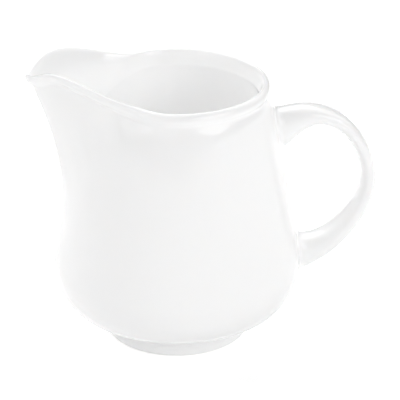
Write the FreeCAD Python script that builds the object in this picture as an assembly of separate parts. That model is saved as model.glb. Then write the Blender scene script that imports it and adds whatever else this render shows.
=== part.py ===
"""A porcelain milk jug, thrown and cast as one piece: foot ring, round low belly, tapering neck,
rolled rim, a broad pulled spout and a strap handle.

Millimetres, +Z up. The origin is the centre of the foot ring's resting face, the spout points
along -X and the handle along +X, so the XZ plane is the jug's plane of symmetry.
"""

import FreeCAD, Part
import math
import os
from FreeCAD import Vector

# --- Foot ring and underside ---------------------------------------------------------------
FOOT_RADIUS = 24.4          # outside of the foot ring
FOOT_HEIGHT = 6.9           # from the table to the middle of the cove under the belly
RING_WIDTH = 3.6            # flat width that rests on the table
FOOT_EDGE = 0.9             # rounding of the ring's two lower edges
FOOT_COVE = 2.4             # how far the ring spreads there
FOOT_WAIST = 0.5            # how far the ring draws in between its edge and the cove
RECESS_DEPTH = 2.6          # hollow under the floor, inside the ring
RECESS_FLARE = 2.4          # how far the recess's wall leans in on its way up

# --- Body ----------------------------------------------------------------------------------
WALL = 3.8                  # thickness of the wall and of the floor
BELLY_RADIUS = 42.6         # widest place
BELLY_LEVEL = 25.0          # and its height
UNDERBELLY_SPAN = 13.5      # from the widest place in to where the underbelly would end
UNDERBELLY_DROP = 16.2      # and down to there
FLANK_BULGE = 0.5           # how far the flank stands out from a straight cone
NECK_RADIUS = 31.8          # outside, where the flank ends under the rim
FLOOR_SHARE = 0.3           # share of the inside's lowest ring that is flat floor

# --- Rolled rim ----------------------------------------------------------------------------
RIM_RADIUS = 31.6           # outside of the roll
RIM_LEVEL = 91.2            # top of the roll where there is no spout
RIM_ROUND = 1.7             # rounding of the roll's shoulder
RIM_THICKNESS = 4.0         # from the roll's outside in to the mouth's narrowest place
GROOVE_DEPTH = 1.1          # soft groove between the neck and the roll
GROOVE_DROP = 4.2           # from the top of the roll down to the groove
GROOVE_WIDTH = 2.9          # from the neck's end to the roll's outside
FLARE_DROP = 5.0            # from the top of the roll down to the mouth's narrowest place
MOUTH_EDGE = 0.8            # rounding there

NECK_LEVEL = RIM_LEVEL - GROOVE_DROP - 0.6 * GROOVE_WIDTH
TAPER = (BELLY_RADIUS - NECK_RADIUS) / (NECK_LEVEL - BELLY_LEVEL)

# --- Spout ---------------------------------------------------------------------------------
SPOUT_REACH = 19.9          # how far the lip is drawn out beyond the round rim
SPOUT_START = 46.0          # height at which the keel leaves the flank
KEEL_POWER = 1.75           # how late the keel turns outwards
SPOUT_HALF_ANGLE = 67.0     # degrees each side of the keel that the lip takes up at the rim
THROAT_POWER = 1.5          # how fast the spout narrows below the rim
NARROWEST_HALF_ANGLE = 20.0 # degrees each side at the foot of the keel
NOSE_ROUND = 1.0            # degrees over which the keel's ridge is rounded
FLARE_POWER = 1.95          # at the lip: 1 draws straight flanks, more draws hollow ones
FOLD_POWER = 0.9            # where the flanks fold most sharply out of the body
FOLD_FOOT = 0.3             # shares of the spout's height between which they do
FOLD_TOP = 0.97
PINCH_DEPTH = 1.5           # thumb marks each side of the spout
PINCH_PLACE = 0.92          # where they are, as a share of the spout's half angle
PINCH_POWER = 6.0           # how fast they fade below the lip
PINCH_SPREAD = 11.5         # degrees
LIP_LIFT = 9.8              # how far the spout's lip rises above the rim
LIFT_HALF_ANGLE = 72.0      # degrees each side of the spout that rise
LIFT_START = 55.0           # height from which the wall is drawn up with the lip
TIP_DIP = 5.6               # how far the tip of the lip falls back down
TIP_DIP_SPREAD = 9.7        # degrees
CHANNEL_DROP = 20.0         # how much lower the mouth's flare reaches at the spout
CHANNEL_HALF_ANGLE = 80.0   # degrees each side of the spout over which it does
CHANNEL_END = 28.0          # height down to which the inner wall follows it

# --- Handle --------------------------------------------------------------------------------
UPPER_ROOT_DROP = 18.4      # from the rim down to where the middle line leaves the body
LOWER_ROOT_RISE = 1.0       # from the widest place up to where it comes back
HANDLE_STANDOFF = 3.4       # the middle line is two quarter ovals about a place this far off the belly
HANDLE_REACH = 20.3         # from that place out to the middle line at the handle's back
CROWN_RISE = 4.4            # from the upper root up to the top of the middle line
HEEL_RISE = 0.6             # from the lower root up to the bottom of it
BACK_SHARE = 0.5            # height of the handle's back, from heel 0 to crown 1
CROWN_ANGLE = 98.0          # where the middle line starts and ends, in degrees up from the back
HEEL_ANGLE = -72.0
HEEL_SQUARENESS = 1.55      # 2 makes the lower quarter an ellipse, less makes it straighter
STRAP_THICKNESS = 5.1       # through the strap from its crown to its back
HEEL_THICKNESS = 6.4        # and from this far below the back, where it turns in to the lower root
THICK_ANGLE = -45.0
STRAP_WIDTH = 10.6
STRAP_SQUARENESS = 2.4      # 2 makes the strap's section an ellipse, more makes it squarer
UPPER_ROOT_HEIGHT = 13.2    # how tall the strap is where it meets the body
LOWER_ROOT_HEIGHT = 11.4
ROOT_SPREAD = 8.0           # length over which it spreads to that
ROOT_WIDTH = 11.6
ROOT_COVE = 1.0             # slip that fills the corner round each root

UPPER_ROOT_LEVEL = RIM_LEVEL - UPPER_ROOT_DROP
LOWER_ROOT_LEVEL = BELLY_LEVEL + LOWER_ROOT_RISE
CROWN_LEVEL = UPPER_ROOT_LEVEL + CROWN_RISE
HEEL_LEVEL = LOWER_ROOT_LEVEL + HEEL_RISE
HANDLE_CENTRE_X = BELLY_RADIUS + HANDLE_STANDOFF
HANDLE_CENTRE_LEVEL = HEEL_LEVEL + BACK_SHARE * (CROWN_LEVEL - HEEL_LEVEL)

# --- Fineness of the surfaces --------------------------------------------------------------
COLUMNS = 72                # control points round the body
COLUMN_CROWDING = 0.5       # 0 spaces them evenly, towards 1 crowds them at the spout
FLANK_ROWS = 12             # spaces between control points up the flank
HANDLE_SECTIONS = 11        # control sections between the handle's roots
SECTION_COLUMNS = 24        # control points round each of them


def smooth_step(t):
    """0 below 0, 1 above 1, and a smooth rise between."""
    t = min(max(t, 0.0), 1.0)
    return t * t * (3.0 - 2.0 * t)


def offset_inwards(points, distance):
    """Each (radius, height) moved square to the outline, to its left."""
    out = []
    for i, (r, z) in enumerate(points):
        r0, z0 = points[max(i - 1, 0)]
        r1, z1 = points[min(i + 1, len(points) - 1)]
        dr, dz = r1 - r0, z1 - z0
        length = math.hypot(dr, dz)
        out.append((r - distance * dz / length, z + distance * dr / length))
    return out


# --- Outline of the body, as control points (radius, height) --------------------------------

def foot_outline():
    """Outside of the foot ring, from its resting face up to the cove."""
    return [
        (FOOT_RADIUS - FOOT_EDGE, 0.0),
        (FOOT_RADIUS - 0.3 * FOOT_EDGE, 0.0),
        (FOOT_RADIUS, 0.3 * FOOT_EDGE),
        (FOOT_RADIUS, FOOT_EDGE),
        (FOOT_RADIUS - FOOT_WAIST, 0.4 * FOOT_HEIGHT),
        (FOOT_RADIUS + 0.1 * FOOT_COVE, 0.75 * FOOT_HEIGHT),
        (FOOT_RADIUS + FOOT_COVE, FOOT_HEIGHT),
    ]


def underbelly_outline():
    """From the cove above the foot out to the widest place, along a quarter ellipse."""
    centre = BELLY_RADIUS - UNDERBELLY_SPAN
    out = []
    for degrees in (68, 54, 39, 22):
        a = math.radians(degrees)
        out.append((centre + UNDERBELLY_SPAN * math.cos(a), BELLY_LEVEL - UNDERBELLY_DROP * math.sin(a)))
    return out


def flank_outline():
    """From the widest place up to the groove under the rim."""
    out = []
    for i in range(FLANK_ROWS + 1):
        t = i / FLANK_ROWS
        r = BELLY_RADIUS + (NECK_RADIUS - BELLY_RADIUS) * t + FLANK_BULGE * math.sin(math.pi * t)
        out.append((r, BELLY_LEVEL + (NECK_LEVEL - BELLY_LEVEL) * t))
    return out


def roll_outline():
    """The outside of the rolled rim, from the groove below it up to its top."""
    groove = RIM_LEVEL - GROOVE_DROP
    return [
        (NECK_RADIUS - GROOVE_DEPTH, groove),
        (RIM_RADIUS, groove + 0.4 * GROOVE_WIDTH),
        (RIM_RADIUS, RIM_LEVEL - RIM_ROUND),
        (RIM_RADIUS - 0.4 * RIM_ROUND, RIM_LEVEL - 0.3 * RIM_ROUND),
        (RIM_RADIUS - 1.2 * RIM_ROUND, RIM_LEVEL + 0.1 * RIM_ROUND),
    ]


def flare_outline():
    """The flare of the mouth, from the top of the roll down to the narrowest place."""
    inside = RIM_RADIUS - RIM_THICKNESS
    narrow = RIM_LEVEL - FLARE_DROP
    width = RIM_THICKNESS - 1.2 * RIM_ROUND
    return [
        (inside + 0.65 * width, RIM_LEVEL - 0.15 * FLARE_DROP),
        (inside + 0.4 * width, RIM_LEVEL - 0.45 * FLARE_DROP),
        (inside + 0.15 * width, narrow + MOUTH_EDGE),
        (inside, narrow),
        (inside + 0.2 * MOUTH_EDGE, narrow - MOUTH_EDGE),
    ]


def cavity_outline(outside):
    """The inner wall, from the neck down to the edge of the flat floor."""
    floor_level = RECESS_DEPTH + WALL
    wall = [p for p in offset_inwards(outside, WALL) if p[1] > floor_level + 0.5 * WALL]
    foot = wall[0][0]
    edge = FLOOR_SHARE * foot
    floor = [(edge, floor_level), (0.5 * (edge + foot), floor_level)]
    return (floor + wall)[::-1]


def outside_outline():
    """From the resting ring up the outside of the wall to the top of the rim."""
    return foot_outline() + underbelly_outline() + flank_outline() + roll_outline()


def inside_outline():
    """From the top of the rim down the inside of the wall to the edge of the flat floor."""
    return flare_outline() + cavity_outline(underbelly_outline() + flank_outline())


def recess_outline():
    """The hollow under the floor, from the ring's inner edge up to its flat ceiling."""
    inner = FOOT_RADIUS - RING_WIDTH - FOOT_EDGE
    top = inner - RECESS_FLARE
    return [
        (inner, 0.0),
        (inner - 0.7 * FOOT_EDGE, 0.0),
        (inner - FOOT_EDGE, 0.4 * FOOT_EDGE),
        (inner - FOOT_EDGE - 0.3 * RECESS_FLARE, 0.5 * RECESS_DEPTH),
        (top - 0.2 * FOOT_EDGE, RECESS_DEPTH - 0.2 * FOOT_EDGE),
        (top - 1.5 * FOOT_EDGE, RECESS_DEPTH),
        (top - 3.0 * FOOT_EDGE, RECESS_DEPTH),
    ]


# --- Spout: how the round body is drawn out -------------------------------------------------

def eased_angle(degrees):
    """An angle from the keel, rounded near 0 so that the keel is a ridge and not an edge."""
    return math.hypot(degrees, NOSE_ROUND) - NOSE_ROUND


def spout_reach(degrees, z):
    """How far out the wall is drawn at this angle from the keel and this height."""
    t = max(0.0, (z - SPOUT_START) / (RIM_LEVEL - SPOUT_START))
    half = max(NARROWEST_HALF_ANGLE, SPOUT_HALF_ANGLE * t ** THROAT_POWER)
    off_fold = (2.0 * t - FOLD_FOOT - FOLD_TOP) / (FOLD_TOP - FOLD_FOOT)
    power = FOLD_POWER + (FLARE_POWER - FOLD_POWER) * smooth_step(abs(off_fold))
    share = max(0.0, 1.0 - eased_angle(degrees) / eased_angle(half)) ** power
    off_pinch = (degrees - PINCH_PLACE * half) / PINCH_SPREAD
    pinch = PINCH_DEPTH * t ** PINCH_POWER * math.exp(-off_pinch * off_pinch)
    return SPOUT_REACH * t ** KEEL_POWER * share - pinch


def spout_lift(degrees, z):
    """How far up the wall is drawn at this angle from the keel and this height."""
    rise = 0.0
    if degrees < LIFT_HALF_ANGLE:
        rise = LIP_LIFT * math.cos(math.radians(90.0 * degrees / LIFT_HALF_ANGLE)) ** 2
    dip = TIP_DIP * math.exp(-((degrees / TIP_DIP_SPREAD) ** 2))
    return (rise - dip) * smooth_step((z - LIFT_START) / (NECK_LEVEL - LIFT_START))


def channel_drop(degrees, z):
    """How far a point of the inside is set down, so that the mouth's flare runs out into the spout."""
    if degrees > CHANNEL_HALF_ANGLE:
        return 0.0
    narrow = RIM_LEVEL - FLARE_DROP
    above = max(0.0, (RIM_LEVEL - z) / FLARE_DROP) ** 2
    share = min(above, smooth_step((z - CHANNEL_END) / (narrow - CHANNEL_END)))
    return CHANNEL_DROP * share * math.cos(math.radians(90.0 * degrees / CHANNEL_HALF_ANGLE)) ** 2


def column_angles():
    """Angles of the columns of control points, from the handle round by the spout, closest at the spout."""
    out = []
    for i in range(COLUMNS):
        a = 2.0 * math.pi * i / COLUMNS - math.pi
        out.append(a - COLUMN_CROWDING * math.sin(a))
    return out


def column_pull(index, angles):
    """How far out a column's control points lie so that the surface between them has the stated radius."""
    ahead = angles[(index + 1) % len(angles)] - angles[index]
    behind = angles[index] - angles[index - 1]
    step = 0.5 * ((ahead % (2.0 * math.pi)) + (behind % (2.0 * math.pi)))
    return 3.0 / (2.0 + math.cos(step))


def jug_point(r, z, angle):
    """A point of the round body, drawn out by the spout; angle is from the keel, in radians."""
    degrees = abs(math.degrees(angle))
    out = r + spout_reach(degrees, z)
    return Vector(-out * math.cos(angle), -out * math.sin(angle), z + spout_lift(degrees, z))


# --- Surfaces ------------------------------------------------------------------------------

def net_face(rows):
    """A face on a cubic B-spline surface: each row is a closed ring of control points."""
    count, columns = len(rows), len(rows[0])
    surface = Part.BSplineSurface()
    ring_knots = list(range(columns + 1))
    spans = count - 3
    surface.buildFromPolesMultsKnots(
        [list(row) for row in rows],
        [4] + [1] * (spans - 1) + [4],
        [1] * (columns + 1),
        list(range(spans + 1)),
        ring_knots,
        False,
        True,
        3,
        3,
    )
    return surface.toShape()


def body_rows():
    """Rings of control points of the wall, up its outside, over the rim and down its inside."""
    angles = column_angles()
    pulls = [column_pull(i, angles) for i in range(COLUMNS)]
    rows = []
    for r, z in outside_outline():
        rows.append([jug_point(r * pull, z, a) for a, pull in zip(angles, pulls)])
    for r, z in inside_outline():
        drops = [channel_drop(abs(math.degrees(a)), z) for a in angles]
        rows.append([jug_point((r + TAPER * drop) * pull, z - drop, a)
                     for a, pull, drop in zip(angles, pulls, drops)])
    return rows


# --- Handle: sections (x, z, facing, thickness, width), facing being the way its outer side looks

def body_radius(level):
    """Outside radius of the round body at a height on its belly or flank."""
    points = underbelly_outline() + flank_outline()
    for (r0, z0), (r1, z1) in zip(points, points[1:]):
        if z0 <= level <= z1:
            return r0 + (r1 - r0) * (level - z0) / (z1 - z0)
    raise ValueError("the handle's roots must lie between the underbelly and the neck")


def root_sections(level, height, side):
    """A root's three sections, sunk in the wall, at its surface and clear of it; side is 1 up, -1 down."""
    half = 0.5 * height
    facing = math.atan2(side * height, side * (body_radius(level + half) - body_radius(level - half)))
    surface = body_radius(level)
    return [
        (surface - 0.5 * WALL, level, facing, height + 2.0 * ROOT_COVE, ROOT_WIDTH + 2.0 * ROOT_COVE),
        (surface + 0.2 * ROOT_COVE, level, facing, height + ROOT_COVE, ROOT_WIDTH + ROOT_COVE),
        (surface + 1.5 * ROOT_COVE, level, facing, height, ROOT_WIDTH),
    ]


def middle_line(angle):
    """The place on the handle's middle line at an angle up from its back, in degrees."""
    c, s = math.cos(math.radians(angle)), math.sin(math.radians(angle))
    if s >= 0.0:
        return HANDLE_CENTRE_X + HANDLE_REACH * c, HANDLE_CENTRE_LEVEL + (CROWN_LEVEL - HANDLE_CENTRE_LEVEL) * s
    power = 2.0 / HEEL_SQUARENESS
    drop = (HANDLE_CENTRE_LEVEL - HEEL_LEVEL) * (-s) ** power
    return HANDLE_CENTRE_X + HANDLE_REACH * c ** power, HANDLE_CENTRE_LEVEL - drop


def strap_sections(upper, lower):
    """The sections between the two roots, given the roots' outermost sections."""
    step = (CROWN_ANGLE - HEEL_ANGLE) / (HANDLE_SECTIONS - 1)
    out = []
    for i in range(HANDLE_SECTIONS):
        angle = CROWN_ANGLE - step * i
        x, z = middle_line(angle)
        before, after = middle_line(angle + 1.0), middle_line(angle - 1.0)
        facing = math.atan2(after[0] - before[0], before[1] - after[1])
        thickness = STRAP_THICKNESS + (HEEL_THICKNESS - STRAP_THICKNESS) * smooth_step(angle / THICK_ANGLE)
        for root in (upper, lower):
            nearness = math.exp(-((math.hypot(x - root[0], z - root[1]) / ROOT_SPREAD) ** 2))
            thickness += (root[3] - thickness) * nearness
        out.append((x, z, facing, thickness, STRAP_WIDTH))
    return out


def handle_sections():
    """Every section of the handle, from the upper root to the lower."""
    upper = root_sections(UPPER_ROOT_LEVEL, UPPER_ROOT_HEIGHT, 1)
    lower = root_sections(LOWER_ROOT_LEVEL, LOWER_ROOT_HEIGHT, -1)
    return upper + strap_sections(upper[-1], lower[-1]) + lower[::-1]


def section_ring(x, z, facing, thickness, width):
    """The ring of control points of one section."""
    pull = 3.0 / (2.0 + math.cos(2.0 * math.pi / SECTION_COLUMNS))
    power = 2.0 / STRAP_SQUARENESS
    ring = []
    for i in range(SECTION_COLUMNS):
        a = 2.0 * math.pi * i / SECTION_COLUMNS
        c, s = math.cos(a), math.sin(a)
        up = 0.5 * thickness * pull * math.copysign(abs(c) ** power, c)
        across = 0.5 * width * pull * math.copysign(abs(s) ** power, s)
        ring.append(Vector(x + up * math.cos(facing), across, z + up * math.sin(facing)))
    return ring


# --- Solids ---------------------------------------------------------------------------------

def end_wire(face, level):
    """The closed edge of a face that lies at a height."""
    edges = [e for e in face.Edges if abs(e.BoundBox.ZMin - level) + abs(e.BoundBox.ZMax - level) < 1e-6]
    return Part.Wire(edges)


def closed_solid(faces):
    """A solid from faces that meet edge to edge."""
    shell = Part.makeShell(faces)
    shell.sewShape()
    solid = Part.makeSolid(shell)
    if not solid.isValid() or not solid.isClosed():
        raise ValueError("the faces do not close")
    if solid.Volume < 0.0:
        solid.reverse()
    return solid


def make_body():
    """The wall with its spout, closed by the floor, the resting ring and the recess under the floor."""
    wall = net_face(body_rows())
    recess = net_face([[Vector(r * math.cos(a), r * math.sin(a), z) for a in column_angles()]
                       for r, z in recess_outline()])
    floor = Part.Face(end_wire(wall, RECESS_DEPTH + WALL))
    ceiling = Part.Face(end_wire(recess, RECESS_DEPTH))
    ring = Part.makeFace([end_wire(wall, 0.0), end_wire(recess, 0.0)], "Part::FaceMakerBullseye")
    return closed_solid([wall, floor, ring, recess, ceiling])


def make_handle():
    """The strap with both its roots, its two flat ends sunk in the wall."""
    sections = handle_sections()
    strap = net_face([section_ring(*section) for section in sections])
    ends = [e for e in strap.Edges if e.isClosed()]
    caps = [Part.Face(Part.Wire([e])) for e in ends]
    return closed_solid([strap] + caps)


def make_jug():
    """The whole jug, one piece of porcelain."""
    jug = make_body().fuse(make_handle())
    return jug.Solids[0]


def main():
    os.makedirs("parts", exist_ok=True)
    jug = make_jug()
    jug.exportStep("parts/jug.step")
    box = jug.BoundBox
    print("jug: volume %.0f mm3, x %.2f to %.2f, y %.2f to %.2f, z %.2f to %.2f" % (
        jug.Volume, box.XMin, box.XMax, box.YMin, box.YMax, box.ZMin, box.ZMax))


if __name__ == "__main__":
    main()
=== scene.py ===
"""A white glazed porcelain milk jug with a drawn-out spout and a strap handle, on a plain pale floor.

The jug is one closed shell. Its round body is spun from an outline, the spout is drawn out of it, and
the strap handle is grown from the wall at its upper root and joined to the wall at its lower one.
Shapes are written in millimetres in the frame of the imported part: the origin is the middle of the foot
ring, +Z is up, the spout points along -X and the handle along +X. Outlines and sections are control
points of a smooth surface, so a share of a named size, such as 0.4 of the foot's height, only sets
where one of them lies.
"""

from __future__ import annotations

import logging
import math
from dataclasses import dataclass, field
from enum import Enum

import bmesh
import bpy
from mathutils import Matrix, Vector


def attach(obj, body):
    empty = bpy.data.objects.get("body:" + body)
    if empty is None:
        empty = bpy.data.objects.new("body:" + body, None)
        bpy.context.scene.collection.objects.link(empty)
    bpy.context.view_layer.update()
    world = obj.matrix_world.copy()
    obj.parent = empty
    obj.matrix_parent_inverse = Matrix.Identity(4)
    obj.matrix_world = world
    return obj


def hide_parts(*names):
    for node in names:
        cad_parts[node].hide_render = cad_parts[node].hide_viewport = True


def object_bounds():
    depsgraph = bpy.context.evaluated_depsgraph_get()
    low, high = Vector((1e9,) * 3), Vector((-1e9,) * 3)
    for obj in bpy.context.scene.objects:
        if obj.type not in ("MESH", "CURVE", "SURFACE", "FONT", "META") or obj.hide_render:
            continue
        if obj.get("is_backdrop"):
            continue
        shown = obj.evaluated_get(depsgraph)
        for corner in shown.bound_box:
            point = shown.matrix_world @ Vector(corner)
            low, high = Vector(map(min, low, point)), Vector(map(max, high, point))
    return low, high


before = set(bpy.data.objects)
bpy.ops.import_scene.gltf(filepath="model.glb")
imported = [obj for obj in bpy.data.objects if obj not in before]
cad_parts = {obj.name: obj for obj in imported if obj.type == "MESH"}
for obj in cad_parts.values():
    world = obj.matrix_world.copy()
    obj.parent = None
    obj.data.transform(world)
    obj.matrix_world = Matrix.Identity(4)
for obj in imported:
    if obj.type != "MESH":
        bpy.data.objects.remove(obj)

LOG = logging.getLogger("jug")
MM = 0.001
FULL_TURN = 2.0 * math.pi
SAME_PLACE = 1e-4

Point = tuple[float, float]


class Colour(Enum):
    """The plain colours of the jug and its surroundings, linear, with alpha."""

    PORCELAIN = (0.95, 0.95, 0.95, 1.0)
    BISCUIT = (0.84, 0.82, 0.78, 1.0)
    PAPER = (0.93, 0.93, 0.93, 1.0)
    LIGHT = (1.0, 1.0, 1.0, 1.0)


def smooth_step(t: float) -> float:
    """Returns 0 below 0, 1 above 1, and a smooth rise between."""
    t = min(max(t, 0.0), 1.0)
    return t * t * (3.0 - 2.0 * t)


def surface_pull(gap: float) -> float:
    """Returns how many radii out a circle's control points lie, given the angle between them."""
    return 3.0 / (2.0 + math.cos(gap))


def direction(azimuth: float, elevation: float) -> Vector:
    """Returns the direction from the jug towards a lamp or the camera.

    Args:
        azimuth: degrees round from the front, positive towards the handle.
        elevation: degrees above the floor.

    Returns:
        The direction, with a length of 1.
    """
    around, above = math.radians(azimuth), math.radians(elevation)
    level = math.cos(above)
    return Vector((math.sin(around) * level, -math.cos(around) * level, math.sin(above)))


def in_scene(name: str, data: bpy.types.ID) -> bpy.types.Object:
    """Puts a new object in the scene.

    Args:
        name: what the object is called.
        data: its mesh, lamp or camera.

    Returns:
        The object, at the origin.
    """
    thing = bpy.data.objects.new(name, data)
    bpy.context.collection.objects.link(thing)
    return thing


def mesh_in_scene(name: str, bm: bmesh.types.BMesh) -> bpy.types.Object:
    """Puts a new mesh object in the scene, and frees the bmesh it is made from.

    Args:
        name: what the object and its mesh are called.
        bm: the mesh.

    Returns:
        The object, at the origin.
    """
    mesh = bpy.data.meshes.new(name)
    bm.to_mesh(mesh)
    bm.free()
    return in_scene(name, mesh)


@dataclass(frozen=True)
class BodyOutline:
    """The outline of the round body, as control points (radius, height) from underside to inside."""

    foot_radius: float = 24.4
    foot_height: float = 6.9
    ring_width: float = 3.6
    foot_edge: float = 0.9
    foot_cove: float = 2.4
    foot_waist: float = 0.5
    recess_depth: float = 2.6
    recess_flare: float = 2.4
    wall: float = 3.8
    belly_radius: float = 42.6
    belly_level: float = 25.0
    underbelly_span: float = 13.5
    underbelly_drop: float = 16.2
    underbelly_angles: tuple[int, ...] = (68, 54, 39, 22)
    flank_bulge: float = 0.5
    neck_radius: float = 31.8
    flank_rows: int = 12
    floor_share: float = 0.3
    rim_radius: float = 31.6
    rim_level: float = 91.2
    rim_round: float = 1.7
    rim_thickness: float = 4.0
    groove_depth: float = 1.1
    groove_drop: float = 4.2
    groove_width: float = 2.9
    flare_drop: float = 5.0
    mouth_edge: float = 0.8

    @property
    def neck_level(self) -> float:
        """Height at which the flank ends under the groove."""
        return self.rim_level - self.groove_drop - 0.6 * self.groove_width

    @property
    def taper(self) -> float:
        """How much the flank narrows for each millimetre of height."""
        return (self.belly_radius - self.neck_radius) / (self.neck_level - self.belly_level)

    @property
    def floor_level(self) -> float:
        """Height of the inside floor above the table."""
        return self.recess_depth + self.wall

    def recess(self) -> list[Point]:
        """Returns the hollow under the floor, from the axis out to the resting ring."""
        inner = self.foot_radius - self.ring_width - self.foot_edge
        edge = self.foot_edge
        top = inner - self.recess_flare
        return [
            (0.0, self.recess_depth),
            (0.4 * top, self.recess_depth),
            (top - 3.0 * edge, self.recess_depth),
            (top - 1.5 * edge, self.recess_depth),
            (top - 0.2 * edge, self.recess_depth - 0.2 * edge),
            (inner - edge - 0.3 * self.recess_flare, 0.5 * self.recess_depth),
            (inner - edge, 0.4 * edge),
            (inner - 0.7 * edge, 0.0),
            (inner, 0.0),
            (inner + 0.5 * self.ring_width, 0.0),
        ]

    def foot(self) -> list[Point]:
        """Returns the outside of the foot ring, from its resting face up to the cove."""
        radius, edge = self.foot_radius, self.foot_edge
        return [
            (radius - edge, 0.0),
            (radius - 0.3 * edge, 0.0),
            (radius, 0.3 * edge),
            (radius, edge),
            (radius - self.foot_waist, 0.4 * self.foot_height),
            (radius + 0.1 * self.foot_cove, 0.75 * self.foot_height),
            (radius + self.foot_cove, self.foot_height),
        ]

    def skin(self) -> list[Point]:
        """Returns the outside from the cove round the belly and up the flank to the neck."""
        centre = self.belly_radius - self.underbelly_span
        points = []
        for degrees in self.underbelly_angles:
            a = math.radians(degrees)
            radius = centre + self.underbelly_span * math.cos(a)
            points.append((radius, self.belly_level - self.underbelly_drop * math.sin(a)))
        for i in range(self.flank_rows + 1):
            t = i / self.flank_rows
            radius = self.belly_radius + (self.neck_radius - self.belly_radius) * t
            height = self.belly_level + (self.neck_level - self.belly_level) * t
            points.append((radius + self.flank_bulge * math.sin(math.pi * t), height))
        return points

    def roll(self) -> list[Point]:
        """Returns the outside of the rolled rim, from the groove below it up to its top."""
        groove = self.rim_level - self.groove_drop
        return [
            (self.neck_radius - self.groove_depth, groove),
            (self.rim_radius, groove + 0.4 * self.groove_width),
            (self.rim_radius, self.rim_level - self.rim_round),
            (self.rim_radius - 0.4 * self.rim_round, self.rim_level - 0.3 * self.rim_round),
            (self.rim_radius - 1.2 * self.rim_round, self.rim_level + 0.1 * self.rim_round),
        ]

    def flare(self) -> list[Point]:
        """Returns the flare of the mouth, from the top of the roll down to the narrowest place."""
        inside = self.rim_radius - self.rim_thickness
        narrow = self.rim_level - self.flare_drop
        width = self.rim_thickness - 1.2 * self.rim_round
        return [
            (inside + 0.65 * width, self.rim_level - 0.15 * self.flare_drop),
            (inside + 0.4 * width, self.rim_level - 0.45 * self.flare_drop),
            (inside + 0.15 * width, narrow + self.mouth_edge),
            (inside, narrow),
            (inside + 0.2 * self.mouth_edge, narrow - self.mouth_edge),
        ]

    def cavity(self) -> list[Point]:
        """Returns the inner wall, a wall's thickness inside the skin, down to the middle of the floor."""
        skin = self.skin()
        wall = []
        for i, (r, z) in enumerate(skin):
            r0, z0 = skin[max(i - 1, 0)]
            r1, z1 = skin[min(i + 1, len(skin) - 1)]
            length = math.hypot(r1 - r0, z1 - z0)
            point = (r - self.wall * (z1 - z0) / length, z + self.wall * (r1 - r0) / length)
            if point[1] > self.floor_level + 0.5 * self.wall:
                wall.append(point)
        foot = wall[0][0]
        edge = self.floor_share * foot
        floor = [(0.0, self.floor_level), (0.5 * edge, self.floor_level), (edge, self.floor_level),
                 (0.5 * (edge + foot), self.floor_level)]
        return (floor + wall)[::-1]

    def outside(self) -> list[Point]:
        """Returns the outline from the middle of the underside round to the top of the rim."""
        return self.recess() + self.foot() + self.skin() + self.roll()

    def inside(self) -> list[Point]:
        """Returns the outline from the top of the rim down to the middle of the floor."""
        return self.flare() + self.cavity()

    def skin_radius(self, level: float) -> float:
        """Returns the outside radius of the round body.

        Args:
            level: a height on the belly or the flank.

        Returns:
            The radius there.
        """
        points = self.skin()
        for (r0, z0), (r1, z1) in zip(points, points[1:]):
            if z0 <= level <= z1:
                return r0 + (r1 - r0) * (level - z0) / (z1 - z0)
        raise ValueError("the level is off the belly and the flank")


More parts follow.
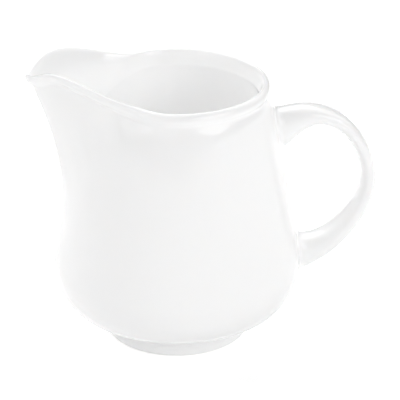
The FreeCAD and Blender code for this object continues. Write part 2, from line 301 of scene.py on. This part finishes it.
@dataclass(frozen=True)
class Spout:
    """How the round body is drawn out and up into the pouring spout."""

    outline: BodyOutline
    reach: float = 19.9
    start: float = 46.0
    keel_power: float = 1.75
    half_angle: float = 67.0
    throat_power: float = 1.5
    narrowest_half_angle: float = 20.0
    nose_round: float = 1.0
    flare_power: float = 1.95
    fold_power: float = 0.9
    fold_foot: float = 0.3
    fold_top: float = 0.97
    pinch_depth: float = 1.5
    pinch_place: float = 0.92
    pinch_power: float = 6.0
    pinch_spread: float = 11.5
    lip_lift: float = 9.8
    lift_half_angle: float = 72.0
    lift_start: float = 55.0
    tip_dip: float = 5.6
    tip_dip_spread: float = 9.7
    channel_drop: float = 20.0
    channel_half_angle: float = 80.0
    channel_end: float = 28.0

    def _eased(self, degrees: float) -> float:
        """Returns the angle from the keel, rounded near 0 so that the keel is a ridge and not an edge."""
        return math.hypot(degrees, self.nose_round) - self.nose_round

    def out(self, degrees: float, z: float) -> float:
        """Works out how far out the wall is drawn.

        Args:
            degrees: the angle from the keel.
            z: the height on the round body.

        Returns:
            The distance, less where a flank is pinched in.
        """
        t = max(0.0, (z - self.start) / (self.outline.rim_level - self.start))
        half = max(self.narrowest_half_angle, self.half_angle * t ** self.throat_power)
        off_fold = (2.0 * t - self.fold_foot - self.fold_top) / (self.fold_top - self.fold_foot)
        power = self.fold_power + (self.flare_power - self.fold_power) * smooth_step(abs(off_fold))
        share = max(0.0, 1.0 - self._eased(degrees) / self._eased(half)) ** power
        off_pinch = (degrees - self.pinch_place * half) / self.pinch_spread
        pinch = self.pinch_depth * t ** self.pinch_power * math.exp(-off_pinch * off_pinch)
        return self.reach * t ** self.keel_power * share - pinch

    def up(self, degrees: float, z: float) -> float:
        """Works out how far up the wall is drawn.

        Args:
            degrees: the angle from the keel.
            z: the height on the round body.

        Returns:
            The distance, less at the tip of the lip.
        """
        rise = 0.0
        if degrees < self.lift_half_angle:
            rise = self.lip_lift * math.cos(math.radians(90.0 * degrees / self.lift_half_angle)) ** 2
        dip = self.tip_dip * math.exp(-((degrees / self.tip_dip_spread) ** 2))
        fade = smooth_step((z - self.lift_start) / (self.outline.neck_level - self.lift_start))
        return (rise - dip) * fade

    def down(self, degrees: float, z: float) -> float:
        """Works out how far a point of the inside is set down, so that the flare runs out into the spout.

        Args:
            degrees: the angle from the keel.
            z: the height on the round body.

        Returns:
            The distance, 0 at the rim and away from the spout.
        """
        if degrees > self.channel_half_angle:
            return 0.0
        narrow = self.outline.rim_level - self.outline.flare_drop
        above = max(0.0, (self.outline.rim_level - z) / self.outline.flare_drop) ** 2
        share = min(above, smooth_step((z - self.channel_end) / (narrow - self.channel_end)))
        turn = math.radians(90.0 * degrees / self.channel_half_angle)
        return self.channel_drop * share * math.cos(turn) ** 2


@dataclass(frozen=True)
class Section:
    """One cross-section of the handle, set in the plane of symmetry.

    Its facing is the way its outside looks, as an angle up from +X in radians.
    """

    x: float
    z: float
    facing: float
    thickness: float
    width: float

    def ring(self, count: int, squareness: float) -> list[Vector]:
        """Returns control points round the section.

        Args:
            count: how many.
            squareness: 2 makes an ellipse, more makes it squarer.

        Returns:
            The points in millimetres, starting at the outside and turning towards +Y.
        """
        pull = surface_pull(FULL_TURN / count)
        power = 2.0 / squareness
        points = []
        for i in range(count):
            c, s = math.cos(FULL_TURN * i / count), math.sin(FULL_TURN * i / count)
            out = 0.5 * self.thickness * pull * math.copysign(abs(c) ** power, c)
            across = 0.5 * self.width * pull * math.copysign(abs(s) ** power, s)
            x, z = self.x + out * math.cos(self.facing), self.z + out * math.sin(self.facing)
            points.append(Vector((x, across, z)))
        return points


@dataclass(frozen=True)
class StrapHandle:
    """The strap handle: its middle line, its thickness along it and its two spread roots."""

    outline: BodyOutline
    upper_root_drop: float = 18.4
    lower_root_rise: float = 1.0
    standoff: float = 3.4
    reach: float = 20.3
    crown_rise: float = 4.4
    heel_rise: float = 0.6
    back_share: float = 0.5
    crown_angle: float = 98.0
    heel_angle: float = -72.0
    heel_squareness: float = 1.55
    strap_thickness: float = 5.1
    heel_thickness: float = 6.4
    thick_angle: float = -45.0
    tangent_angle: float = 1.0
    strap_width: float = 10.6
    strap_squareness: float = 2.4
    upper_root_height: float = 13.2
    lower_root_height: float = 11.4
    root_spread: float = 8.0
    root_width: float = 11.6
    root_cove: float = 1.0
    root_coves_out: tuple[float, ...] = (0.0, 0.5, 1.9)
    root_coves_wider: tuple[float, ...] = (2.4, 0.6, 0.0)
    sections_between: int = 11
    points_round: int = 24

    @property
    def upper_root_level(self) -> float:
        """Height at which the middle line leaves the body."""
        return self.outline.rim_level - self.upper_root_drop

    @property
    def lower_root_level(self) -> float:
        """Height at which the middle line comes back to the body."""
        return self.outline.belly_level + self.lower_root_rise

    @property
    def crown_level(self) -> float:
        """Height of the top of the middle line."""
        return self.upper_root_level + self.crown_rise

    @property
    def heel_level(self) -> float:
        """Height of the bottom of the middle line."""
        return self.lower_root_level + self.heel_rise

    def root(self, level: float, height: float, side: int) -> list[Section]:
        """Works out a root's sections.

        Args:
            level: the height of its middle.
            height: how tall the strap is there.
            side: 1 where the strap's outside looks up, -1 where it looks down.

        Returns:
            The sections, from its footprint on the wall outwards.
        """
        half = 0.5 * height
        slope = self.outline.skin_radius(level + half) - self.outline.skin_radius(level - half)
        facing = math.atan2(side * height, side * slope)
        surface = self.outline.skin_radius(level)
        sections = []
        for out, wider in zip(self.root_coves_out, self.root_coves_wider):
            spread = wider * self.root_cove
            x = surface + out * self.root_cove
            sections.append(Section(x, level, facing, height + spread, self.root_width + spread))
        return sections

    def middle_line(self, angle: float) -> Point:
        """Works out a place on the middle line.

        Args:
            angle: degrees up from the handle's back.

        Returns:
            Its x and its height.
        """
        c, s = math.cos(math.radians(angle)), math.sin(math.radians(angle))
        centre_x = self.outline.belly_radius + self.standoff
        centre_level = self.heel_level + self.back_share * (self.crown_level - self.heel_level)
        if s >= 0.0:
            return centre_x + self.reach * c, centre_level + (self.crown_level - centre_level) * s
        power = 2.0 / self.heel_squareness
        drop = (centre_level - self.heel_level) * (-s) ** power
        return centre_x + self.reach * c ** power, centre_level - drop

    def strap(self, upper: Section, lower: Section) -> list[Section]:
        """Works out the sections between the roots.

        Args:
            upper: the upper root's outermost section.
            lower: the lower root's outermost section.

        Returns:
            The sections, from the upper root to the lower one.
        """
        step = (self.crown_angle - self.heel_angle) / (self.sections_between - 1)
        sections = []
        for i in range(self.sections_between):
            angle = self.crown_angle - step * i
            x, z = self.middle_line(angle)
            before = self.middle_line(angle + self.tangent_angle)
            after = self.middle_line(angle - self.tangent_angle)
            facing = math.atan2(after[0] - before[0], before[1] - after[1])
            gain = self.heel_thickness - self.strap_thickness
            thickness = self.strap_thickness + gain * smooth_step(angle / self.thick_angle)
            for root in (upper, lower):
                away = math.hypot(x - root.x, z - root.z) / self.root_spread
                thickness += (root.thickness - thickness) * math.exp(-away * away)
            sections.append(Section(x, z, facing, thickness, self.strap_width))
        return sections


@dataclass
class Jug:
    """The whole jug as one closed, smooth shell."""

    outline: BodyOutline = field(default_factory=BodyOutline)
    columns: int = 72
    crowding: float = 0.5

    def __post_init__(self) -> None:
        """Ties the spout and the handle to the same outline."""
        self.spout = Spout(self.outline)
        self.handle = StrapHandle(self.outline)

    def build(self) -> bpy.types.Object:
        """Returns the jug's object, with its points on the surface that its cage stands for."""
        body = self._smoothed(self._body_cage(), "body_fine", limit=False)
        return self._smoothed(self._with_handle(body), "jug_glazed", limit=True)

    def _body_cage(self) -> bpy.types.Object:
        """Returns the control net of the round body, spun from its outline and drawn out at the spout."""
        bm = bmesh.new()
        inside = bm.verts.layers.float.new("inside")
        verts = [bm.verts.new((-r, 0.0, z)) for r, z in self.outline.outside()]
        for r, z in self.outline.inside():
            verts.append(bm.verts.new((-r, 0.0, z)))
            verts[-1][inside] = 1.0
        edges = [bm.edges.new(pair) for pair in zip(verts, verts[1:])]
        bmesh.ops.spin(bm, geom=verts + edges, cent=(0, 0, 0), axis=(0, 0, 1), angle=FULL_TURN,
                       steps=self.columns, use_merge=True)
        bmesh.ops.remove_doubles(bm, verts=bm.verts[:], dist=SAME_PLACE)
        for vert in bm.verts:
            vert.co = self._drawn_out(vert.co, vert[inside])
        bmesh.ops.recalc_face_normals(bm, faces=bm.faces[:])
        return mesh_in_scene("body_cage", bm)

    def _drawn_out(self, place: Vector, inside: float) -> Vector:
        """Moves a point of the evenly spun body to where it is once the spout is drawn out.

        The columns of points are crowded towards the spout, and each lies far enough out that the
        smooth surface between them has the stated radius.

        Args:
            place: the point on the evenly spun body, in millimetres.
            inside: 1 on the inside of the wall and 0 elsewhere.

        Returns:
            The point on the jug, in millimetres.
        """
        radius = math.hypot(place.x, place.y)
        if radius < SAME_PLACE:
            return place
        even = math.atan2(-place.y, -place.x)
        step = FULL_TURN / self.columns
        behind, angle, ahead = (self._crowded(turn) for turn in (even - step, even, even + step))
        pull = surface_pull(0.5 * (ahead - behind))
        degrees = abs(math.degrees(angle))
        drop = inside * self.spout.down(degrees, place.z)
        level = place.z - drop
        out = (radius + self.outline.taper * drop) * pull + self.spout.out(degrees, level)
        height = level + self.spout.up(degrees, level)
        return Vector((-out * math.cos(angle), -out * math.sin(angle), height))

    def _crowded(self, even: float) -> float:
        """Returns a column's angle from the keel, given its angle when the columns are evenly spaced."""
        return even - self.crowding * math.sin(even)

    @staticmethod
    def _smoothed(cage: bpy.types.Object, name: str, limit: bool) -> bpy.types.Object:
        """Subdivides a cage once, and puts the result in the scene in its place.

        Args:
            cage: the object to smooth, which is removed.
            name: what the new object is called.
            limit: whether the points end on the smooth surface itself, as the last subdivision's do.

        Returns:
            The new object.
        """
        modifier = cage.modifiers.new("smooth", "SUBSURF")
        modifier.levels = 1
        modifier.render_levels = 1
        modifier.use_limit_surface = limit
        depsgraph = bpy.context.evaluated_depsgraph_get()
        mesh = bpy.data.meshes.new_from_object(cage.evaluated_get(depsgraph))
        bpy.data.objects.remove(cage)
        mesh.name = name
        return in_scene(name, mesh)

    def _with_handle(self, body: bpy.types.Object) -> bpy.types.Object:
        """Grows the handle from the upper root of the body and joins it to the lower one.

        Args:
            body: the body in millimetres, which is removed.

        Returns:
            The jug in metres, before its last smoothing.
        """
        bm = bmesh.new()
        bm.from_mesh(body.data)
        bpy.data.objects.remove(body)
        handle = self.handle
        upper = handle.root(handle.upper_root_level, handle.upper_root_height, 1)
        lower = handle.root(handle.lower_root_level, handle.lower_root_height, -1)
        start = self._open_wall(bm, upper[0])
        end = self._open_wall(bm, lower[0])
        sections = upper[1:] + handle.strap(upper[-1], lower[-1]) + lower[:0:-1]
        for section in sections:
            start = self._extended(bm, start, section)
        bmesh.ops.bridge_loops(bm, edges=self._loop_edges(start) + self._loop_edges(end))
        bmesh.ops.recalc_face_normals(bm, faces=bm.faces[:])
        bmesh.ops.scale(bm, vec=(MM, MM, MM), verts=bm.verts[:])
        for face in bm.faces:
            face.smooth = True
        return mesh_in_scene("jug_cage", bm)

    def _open_wall(self, bm: bmesh.types.BMesh, footprint: Section) -> list[bmesh.types.BMVert]:
        """Cuts the opening that a root grows from, and shapes it to the root's footprint.

        Args:
            bm: the body.
            footprint: the root's section where it spreads onto the wall.

        Returns:
            The opening's corners, in the order of the section's ring.
        """
        centre = Vector((footprint.x, 0.0, footprint.z))
        middle = min(bm.verts, key=lambda v: (v.co - centre).length)
        faces = list(middle.link_faces)
        # A square patch of n by n faces has 4 n corners round it.
        while 4 * math.isqrt(len(faces)) < self.handle.points_round:
            grown = bmesh.ops.region_extend(bm, geom=faces, use_faces=True, use_face_step=True)["geom"]
            faces += [f for f in grown if isinstance(f, bmesh.types.BMFace)]
        rim = [e for f in faces for e in f.edges if sum(g in faces for g in e.link_faces) == 1]
        corners = list({v for e in rim for v in e.verts})
        bmesh.ops.delete(bm, geom=faces, context="FACES")
        out = Vector((math.cos(footprint.facing), 0.0, math.sin(footprint.facing)))
        ring = footprint.ring(self.handle.points_round, self.handle.strap_squareness)

        def turn(place: Vector) -> float:
            """Returns the angle of a place round the footprint, from its outside towards +Y."""
            away = place - centre
            return math.atan2(away.y / footprint.width, away.dot(out) / footprint.thickness) % FULL_TURN

        half_step = 0.5 * FULL_TURN / len(corners)
        corners.sort(key=lambda v: (turn(v.co) + half_step) % FULL_TURN)
        for corner, place in zip(corners, ring):
            corner.co = self._on_wall(place, corner.co)
        return corners

    def _on_wall(self, place: Vector, old: Vector) -> Vector:
        """Moves a place along X onto the body.

        Args:
            place: the place.
            old: a point of the body near it, from which the body's radius there is worked out.

        Returns:
            The place on the body.
        """
        lift = self.outline.skin_radius(place.z) - self.outline.skin_radius(old.z)
        radius = math.hypot(old.x, old.y) + lift
        return Vector((math.sqrt(radius * radius - place.y * place.y), place.y, place.z))

    def _extended(
        self, bm: bmesh.types.BMesh, ring: list[bmesh.types.BMVert], section: Section
    ) -> list[bmesh.types.BMVert]:
        """Extrudes a ring of the handle to its next section.

        Args:
            bm: the jug.
            ring: the ring to extrude, in the order of its section.
            section: the next section.

        Returns:
            The new ring, in the same order.
        """
        made = bmesh.ops.extrude_edge_only(bm, edges=self._loop_edges(ring))["geom"]
        new = {v for v in made if isinstance(v, bmesh.types.BMVert)}
        places = section.ring(self.handle.points_round, self.handle.strap_squareness)
        following = []
        for old, place in zip(ring, places):
            vert = next(e.other_vert(old) for e in old.link_edges if e.other_vert(old) in new)
            vert.co = place
            following.append(vert)
        return following

    @staticmethod
    def _loop_edges(ring: list[bmesh.types.BMVert]) -> list[bmesh.types.BMEdge]:
        """Finds the edges of a closed ring.

        Args:
            ring: its corners, in order.

        Returns:
            The edges between neighbours.
        """
        edges = []
        for a, b in zip(ring, ring[1:] + ring[:1]):
            edges.append(next(e for e in a.link_edges if e.other_vert(a) is b))
        return edges


@dataclass(frozen=True)
class GlazedPorcelain:
    """White porcelain under a clear gloss glaze, left bare where the foot ring stands.

    Levels, sizes, heights and depths are in millimetres. The translucent share is how much of the
    depth red, green and blue light each reach.
    """

    roughness: float = 0.09
    bare_roughness: float = 0.6
    bare_below: float = 0.1
    glazed_above: float = 0.25
    glaze_ior: float = 1.52
    translucency: float = 0.12
    translucent_depth: float = 2.0
    translucent_share: tuple[float, float, float] = (1.0, 0.9, 0.8)
    ripple_size: float = 14.0
    ripple_height: float = 0.02
    peel_size: float = 1.6
    peel_height: float = 0.0015

    def material(self) -> bpy.types.Material:
        """Returns the node material."""
        made = bpy.data.materials.new("glazed_porcelain")
        made.use_nodes = True
        tree = made.node_tree
        shader = tree.nodes["Principled BSDF"]
        place = tree.nodes.new("ShaderNodeTexCoord").outputs["Object"]
        shader.inputs["IOR"].default_value = self.glaze_ior
        shader.inputs["Subsurface Weight"].default_value = self.translucency
        shader.inputs["Subsurface Radius"].default_value = self.translucent_share
        shader.inputs["Subsurface Scale"].default_value = self.translucent_depth * MM
        bare = self._bare(tree, place)
        colour = tree.nodes.new("ShaderNodeMix")
        colour.data_type = "RGBA"
        colour.inputs["A"].default_value = Colour.PORCELAIN.value
        colour.inputs["B"].default_value = Colour.BISCUIT.value
        tree.links.new(bare, colour.inputs["Factor"])
        tree.links.new(colour.outputs["Result"], shader.inputs["Base Color"])
        rough = tree.nodes.new("ShaderNodeMix")
        rough.inputs["A"].default_value = self.roughness
        rough.inputs["B"].default_value = self.bare_roughness
        tree.links.new(bare, rough.inputs["Factor"])
        tree.links.new(rough.outputs["Result"], shader.inputs["Roughness"])
        ripple = self._relief(tree, place, self.ripple_size, self.ripple_height)
        peel = self._relief(tree, place, self.peel_size, self.peel_height, ripple)
        tree.links.new(peel, shader.inputs["Normal"])
        return made

    def _bare(self, tree: bpy.types.NodeTree, place: bpy.types.NodeSocket) -> bpy.types.NodeSocket:
        """Tells the bare resting ring from the glaze.

        Args:
            tree: the material's node tree.
            place: the coordinates.

        Returns:
            1 on the bare ring and 0 on the glaze.
        """
        parts = tree.nodes.new("ShaderNodeSeparateXYZ")
        tree.links.new(place, parts.inputs["Vector"])
        low = tree.nodes.new("ShaderNodeMapRange")
        low.inputs["From Min"].default_value = self.glazed_above * MM
        low.inputs["From Max"].default_value = self.bare_below * MM
        tree.links.new(parts.outputs["Z"], low.inputs["Value"])
        return low.outputs["Result"]

    @staticmethod
    def _relief(
        tree: bpy.types.NodeTree,
        place: bpy.types.NodeSocket,
        size: float,
        height: float,
        under: bpy.types.NodeSocket | None = None,
    ) -> bpy.types.NodeSocket:
        """Adds soft relief to the glaze.

        Args:
            tree: the material's node tree.
            place: the coordinates.
            size: how far apart its swells are, in millimetres.
            height: how high they are, in millimetres.
            under: the normal of the relief below it, if any.

        Returns:
            The normal.
        """
        noise = tree.nodes.new("ShaderNodeTexNoise")
        noise.inputs["Scale"].default_value = 1.0 / (size * MM)
        noise.inputs["Detail"].default_value = 1.0
        tree.links.new(place, noise.inputs["Vector"])
        bump = tree.nodes.new("ShaderNodeBump")
        bump.inputs["Distance"].default_value = height * MM
        tree.links.new(noise.outputs["Fac"], bump.inputs["Height"])
        if under is not None:
            tree.links.new(under, bump.inputs["Normal"])
        return bump.outputs["Normal"]


@dataclass(frozen=True)
class WhitePaper:
    """Matt white paper that takes the jug's shadow, and glows a little where it is seen."""

    roughness: float = 0.9
    lift: float = 0.28

    def material(self) -> bpy.types.Material:
        """Returns the node material."""
        made = bpy.data.materials.new("white_paper")
        made.use_nodes = True
        tree = made.node_tree
        shader = tree.nodes["Principled BSDF"]
        shader.inputs["Base Color"].default_value = Colour.PAPER.value
        shader.inputs["Roughness"].default_value = self.roughness
        shader.inputs["Specular IOR Level"].default_value = 0.0
        shader.inputs["Emission Color"].default_value = Colour.LIGHT.value
        lift = tree.nodes.new("ShaderNodeMath")
        lift.operation = "MULTIPLY"
        lift.inputs[1].default_value = self.lift
        tree.links.new(self._seen_rays(tree), lift.inputs[0])
        tree.links.new(lift.outputs["Value"], shader.inputs["Emission Strength"])
        return made

    @staticmethod
    def _seen_rays(tree: bpy.types.NodeTree) -> bpy.types.NodeSocket:
        """Tells the rays that see the paper from the rays that only light the jug.

        Args:
            tree: the material's node tree.

        Returns:
            1 for the camera's own rays and those mirrored in the glaze, and 0 for the others.
        """
        rays = tree.nodes.new("ShaderNodeLightPath")
        either = tree.nodes.new("ShaderNodeMath")
        either.operation = "MAXIMUM"
        tree.links.new(rays.outputs["Is Camera Ray"], either.inputs[0])
        tree.links.new(rays.outputs["Is Glossy Ray"], either.inputs[1])
        return either.outputs["Value"]


@dataclass(frozen=True)
class Softbox:
    """One round soft lamp, with its distance and size in metres and its power in watts."""

    name: str
    azimuth: float
    elevation: float
    power: float
    distance: float = 2.4
    size: float = 2.0

    def place(self, aim: Vector) -> None:
        """Puts the lamp in the scene, turned towards a point.

        Args:
            aim: the point, in metres.
        """
        lamp = bpy.data.lights.new(self.name, "AREA")
        lamp.shape = "DISK"
        lamp.size = self.size
        lamp.energy = self.power
        towards = direction(self.azimuth, self.elevation)
        thing = in_scene(self.name, lamp)
        thing.location = aim + towards * self.distance
        thing.rotation_euler = towards.to_track_quat("Z", "Y").to_euler()


@dataclass(frozen=True)
class Studio:
    """The plain pale floor, the white surroundings, the soft lamps and the camera.

    The camera's place and lens are in millimetres, its near clipping and the floor in metres.
    """

    camera_azimuth: float = -7.0
    camera_elevation: float = 24.8
    camera_distance: float = 707.3
    camera_aim: tuple[float, float, float] = (8.0, 0.0, 46.8)
    lens: float = 186.2
    nearest_seen: float = 0.05
    floor_size: float = 6.0
    world_strength: float = 0.1
    bounces: int = 20
    lamps: tuple[Softbox, ...] = (
        Softbox("softbox_left", -60.0, 27.0, 12.5),
        Softbox("softbox_front", -25.0, 27.0, 6.0),
        Softbox("softbox_front_right", 40.0, 27.0, 26.0),
        Softbox("softbox_behind_right", 120.0, 40.0, 10.0),
        Softbox("softbox_behind", 180.0, 50.0, 26.0),
        Softbox("softbox_behind_left", -120.0, 45.0, 24.0),
        Softbox("small_lamp", 66.0, 38.0, 1.7, distance=1.6, size=0.35),
    )

    def build(self) -> None:
        """Sets up everything round the jug."""
        self._camera()
        self._floor()
        self._world()
        low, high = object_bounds()
        middle = 0.5 * (Vector(low) + Vector(high))
        for softbox in self.lamps:
            softbox.place(middle)
        scene = bpy.context.scene
        scene.view_settings.view_transform = "Standard"
        scene.cycles.max_bounces = self.bounces
        scene.cycles.diffuse_bounces = self.bounces
        scene.cycles.caustics_reflective = False

    def _camera(self) -> None:
        """Adds the camera, which looks at the jug from in front and above."""
        camera = bpy.data.cameras.new("camera")
        camera.lens = self.lens
        camera.clip_start = self.nearest_seen
        back = direction(self.camera_azimuth, self.camera_elevation)
        thing = in_scene("camera", camera)
        thing.location = (Vector(self.camera_aim) + back * self.camera_distance) * MM
        thing.rotation_euler = back.to_track_quat("Z", "Y").to_euler()
        bpy.context.scene.camera = thing

    def _floor(self) -> None:
        """Adds the floor, a sheet of white paper."""
        bm = bmesh.new()
        bmesh.ops.create_grid(bm, x_segments=1, y_segments=1, size=0.5 * self.floor_size)
        floor = mesh_in_scene("floor", bm)
        floor.data.materials.append(WhitePaper().material())
        floor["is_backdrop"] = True

    def _world(self) -> None:
        """Makes the surroundings plain white where the camera sees them, and dim for all other rays."""
        world = bpy.data.worlds.new("surroundings")
        bpy.context.scene.world = world
        world.use_nodes = True
        nodes, links = world.node_tree.nodes, world.node_tree.links
        dim = nodes["Background"]
        dim.inputs["Color"].default_value = Colour.LIGHT.value
        dim.inputs["Strength"].default_value = self.world_strength
        seen = nodes.new("ShaderNodeBackground")
        seen.inputs["Color"].default_value = Colour.LIGHT.value
        seen.inputs["Strength"].default_value = 1.0
        mix = nodes.new("ShaderNodeMixShader")
        links.new(nodes.new("ShaderNodeLightPath").outputs["Is Camera Ray"], mix.inputs["Fac"])
        links.new(dim.outputs["Background"], mix.inputs[1])
        links.new(seen.outputs["Background"], mix.inputs[2])
        links.new(mix.outputs["Shader"], nodes["World Output"].inputs["Surface"])


def main() -> None:
    """Builds the jug and the studio."""
    logging.basicConfig(level=logging.INFO, format="%(name)s: %(message)s")
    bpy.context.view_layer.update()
    jug = Jug().build()
    jug.data.materials.append(GlazedPorcelain().material())
    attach(jug, "root")
    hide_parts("jug")
    LOG.info("jug: %d faces", len(jug.data.polygons))
    Studio().build()


if __name__ == "__main__":
    main()
